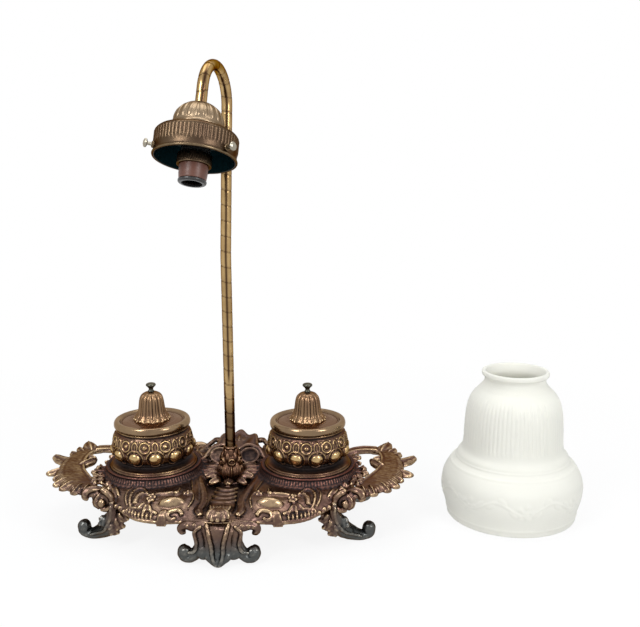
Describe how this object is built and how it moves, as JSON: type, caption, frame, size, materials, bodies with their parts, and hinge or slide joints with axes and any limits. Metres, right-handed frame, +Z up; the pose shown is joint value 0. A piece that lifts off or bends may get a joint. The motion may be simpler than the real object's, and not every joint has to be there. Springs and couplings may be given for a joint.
{
  "type": "desk inkstand",
  "caption": "Cast brass desk inkstand with hinged-lid inkwells on a scrolled, footed tray, a bent-tube electric lamp with screw-held shade gallery, and a frosted bell shade.",
  "frame": {"origin": "on the desk, under the centre of the lamp stem, in the plane of the feet", "axes": "+Z up, +X to the right along the two inkwells towards the shade, front towards -Y"},
  "size_m": [0.4513, 0.182, 0.3706],
  "materials": {
    "patinated_brass": "dark red-brown patina with rubbed golden edges",
    "dark_bronze": "dark grey-brown patina",
    "polished_brass": "polished, slightly tarnished",
    "antique_brass": "dull antique brass",
    "red_brass": "reddish lacquered brass",
    "grey_steel": "worn grey-green plating",
    "steel": "plain machined steel",
    "glazed_liner": "pressed opal glass",
    "white_ceramic": "glazed insulator",
    "black_holder": "black moulded holder",
    "brown_sleeve": "red-brown moulded sleeve",
    "frosted_glass": "frosted white pressed glass"
  },
  "bodies": {
    "stand": {"tray": "patinated_brass", "front_foot": "dark_bronze", "rear_foot": "dark_bronze", "leg_front_left": "dark_bronze", "leg_front_right": "dark_bronze", "leg_rear_left": "dark_bronze", "leg_rear_right": "dark_bronze", "foot_screws": "steel", "well_left": "patinated_brass", "well_right": "patinated_brass", "ink_liner_left": "glazed_liner", "ink_liner_right": "glazed_liner", "well_screws": "steel", "hinge_pin_left": "steel", "hinge_pin_right": "steel", "stem_cup": "red_brass", "gooseneck": "polished_brass", "stem_washer": "steel", "stem_nut": "steel", "canopy": "antique_brass", "gallery": "antique_brass", "lampholder_cap": "black_holder", "lampholder_nut": "antique_brass", "lampholder_sleeve": "brown_sleeve", "lampholder_ring": "black_holder", "socket_shell": "polished_brass", "contact_block": "white_ceramic"},
    "lid_left": {"lid_left": "polished_brass", "bell_left": "patinated_brass", "knob_left": "grey_steel", "lid_nut_left": "steel"},
    "lid_right": {"lid_right": "polished_brass", "bell_right": "patinated_brass", "knob_right": "grey_steel", "lid_nut_right": "steel"},
    "thumbscrew_left": {"thumbscrew_left": "grey_steel"},
    "thumbscrew_right": {"thumbscrew_right": "grey_steel"},
    "thumbscrew_rear": {"thumbscrew_rear": "grey_steel"},
    "shade": {"shade": "frosted_glass"}
  },
  "joints": [
    {"name": "lid_hinge_left", "type": "hinge", "parent": "stand", "child": "lid_left", "pos_m": [-0.064, 0.0342, 0.08258], "axis": [-1, 0, 0], "range_deg": [0, 105]},
    {"name": "lid_hinge_right", "type": "hinge", "parent": "stand", "child": "lid_right", "pos_m": [0.064, 0.0342, 0.08258], "axis": [-1, 0, 0], "range_deg": [0, 105]},
    {"name": "thumbscrew_left_travel", "type": "slide", "parent": "stand", "child": "thumbscrew_left", "axis": [-0.9013, -0.3757, 0.2157], "range_m": [-0.003, 0.0015]},
    {"name": "thumbscrew_right_travel", "type": "slide", "parent": "stand", "child": "thumbscrew_right", "axis": [0.8197, -0.5554, 0.14], "range_m": [-0.003, 0.0015]},
    {"name": "thumbscrew_rear_travel", "type": "slide", "parent": "stand", "child": "thumbscrew_rear", "axis": [0.0816, 0.931, -0.3557], "range_m": [-0.003, 0.0015]},
    {"name": "shade_lift", "type": "slide", "parent": "stand", "child": "shade", "axis": [0, 0, 1], "range_m": [0, 0.2]}
  ]
}
